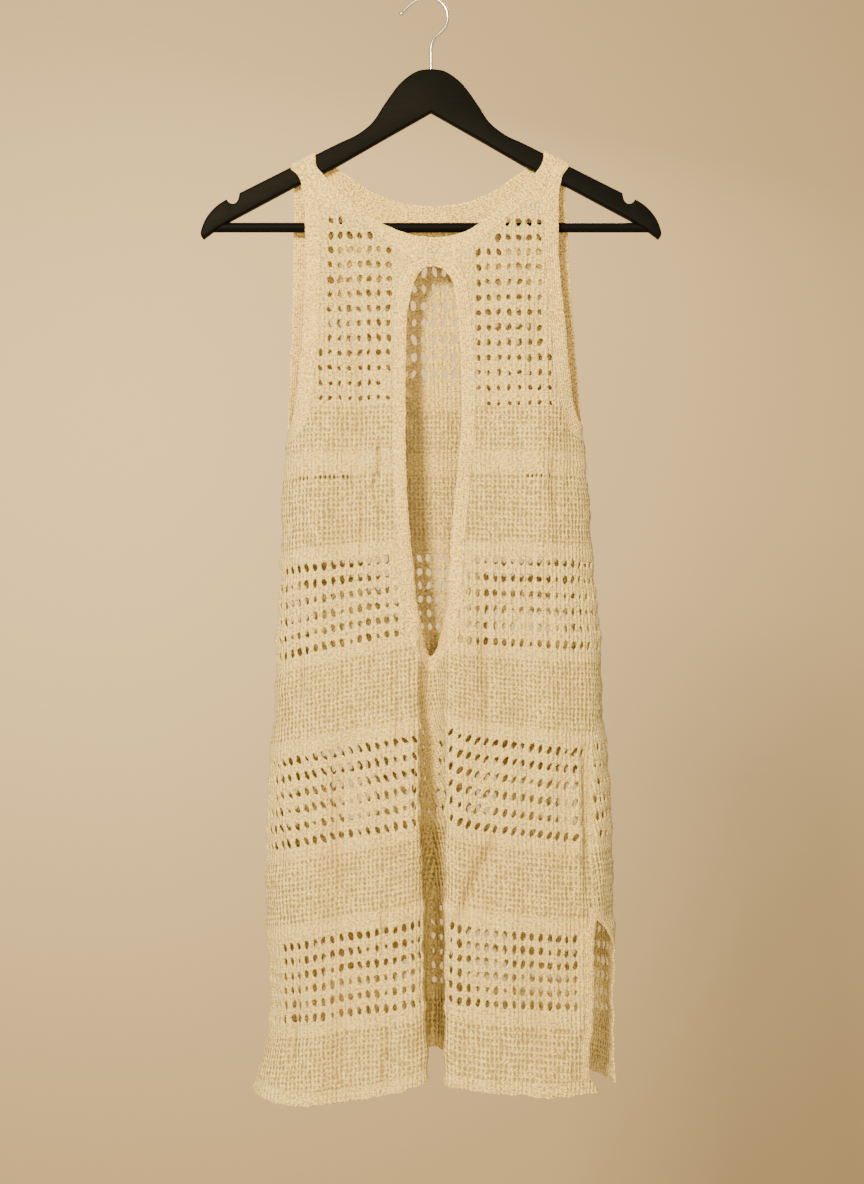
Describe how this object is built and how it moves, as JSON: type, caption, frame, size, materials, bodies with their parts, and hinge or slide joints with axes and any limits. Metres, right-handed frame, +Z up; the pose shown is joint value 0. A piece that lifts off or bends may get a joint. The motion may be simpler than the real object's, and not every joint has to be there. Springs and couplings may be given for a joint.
{
  "type": "sleeveless openwork knit tunic on a wooden hanger",
  "caption": "Long sleeveless openwork knit tunic with a keyhole front, side slits and plain bands, hanging flat on a black wooden hanger with a wire hook.",
  "frame": {"origin": "inner top of the hanger's hook, where it bears on a rail (mount hook)", "axes": "+Z up along the hang line, -Y the garment's front, +X to the right as the front is seen"},
  "size_m": [0.449, 0.1543, 1.0704],
  "materials": {
    "openwork_knit": "cream cotton knit with a waffle face and rows of eyelets",
    "plain_band": "cream cotton, close plain knit bands",
    "hanger_wood": "black satin lacquer",
    "hanger_wire": "bright chromed wire"
  },
  "bodies": {
    "root": {"front_panel": "openwork_knit", "back_panel": "openwork_knit", "front_neckband": "plain_band", "back_neckband": "plain_band", "keyhole_band": "plain_band", "front_armhole_band_left": "plain_band", "front_armhole_band_right": "plain_band", "back_armhole_band_left": "plain_band", "back_armhole_band_right": "plain_band", "front_slit_band_left": "plain_band", "front_slit_band_right": "plain_band", "back_slit_band_left": "plain_band", "back_slit_band_right": "plain_band", "front_hem_band": "plain_band", "back_hem_band": "plain_band", "hanger_arms": "hanger_wood", "hanger_bar": "hanger_wood", "hanger_hook": "hanger_wire"}
  },
  "joints": []
}
